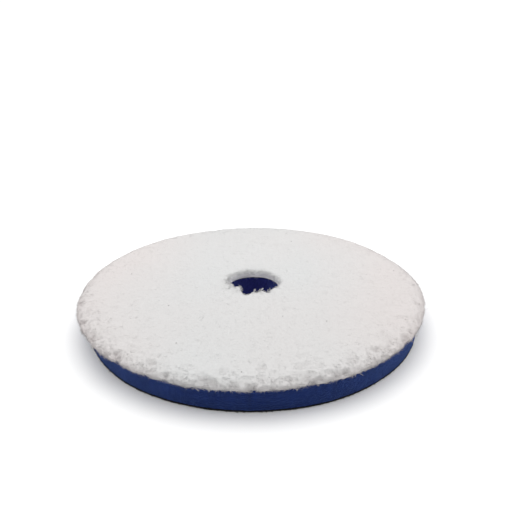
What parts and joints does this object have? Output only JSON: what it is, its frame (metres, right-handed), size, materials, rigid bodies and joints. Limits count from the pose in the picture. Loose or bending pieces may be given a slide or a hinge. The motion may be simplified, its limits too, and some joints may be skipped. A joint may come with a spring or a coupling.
{
  "type": "polishing pad",
  "caption": "Round machine polishing pad: a short white microfibre face on a navy foam disc, with a centre hole and a hook-and-loop back.",
  "frame": {"origin": "centre of the loop face's lower surface, on the hole's axis, where the pad lies", "axes": "+Z along the hole's axis, from the loop face to the working pile; the pad is round, so any turn of X and Y about Z is the same"},
  "size_m": [0.165, 0.165, 0.0156],
  "materials": {
    "black_loops": "matt looped nap",
    "black_knit": "matt warp knit",
    "clear_glue": "thin satin film",
    "navy_foam": "matt open-cell foam, skived",
    "face_glue": "thin satin film",
    "white_knit": "matt knit",
    "white_pile": "short matt cut pile"
  },
  "bodies": {
    "backing": {"loop_nap": "black_loops", "loop_ground_cloth": "black_knit", "backing_glue_film": "clear_glue", "foam_interlayer": "navy_foam"},
    "working_face": {"face_glue_film": "face_glue", "pile_ground_cloth": "white_knit", "microfibre_pile": "white_pile"}
  },
  "joints": [
    {"name": "foam_compression", "type": "slide", "parent": "backing", "child": "working_face", "axis": [0, 0, 1], "range_m": [-0.0035, 0], "stiffness_N_per_m": 30000, "deforming": ["foam_interlayer"]}
  ]
}
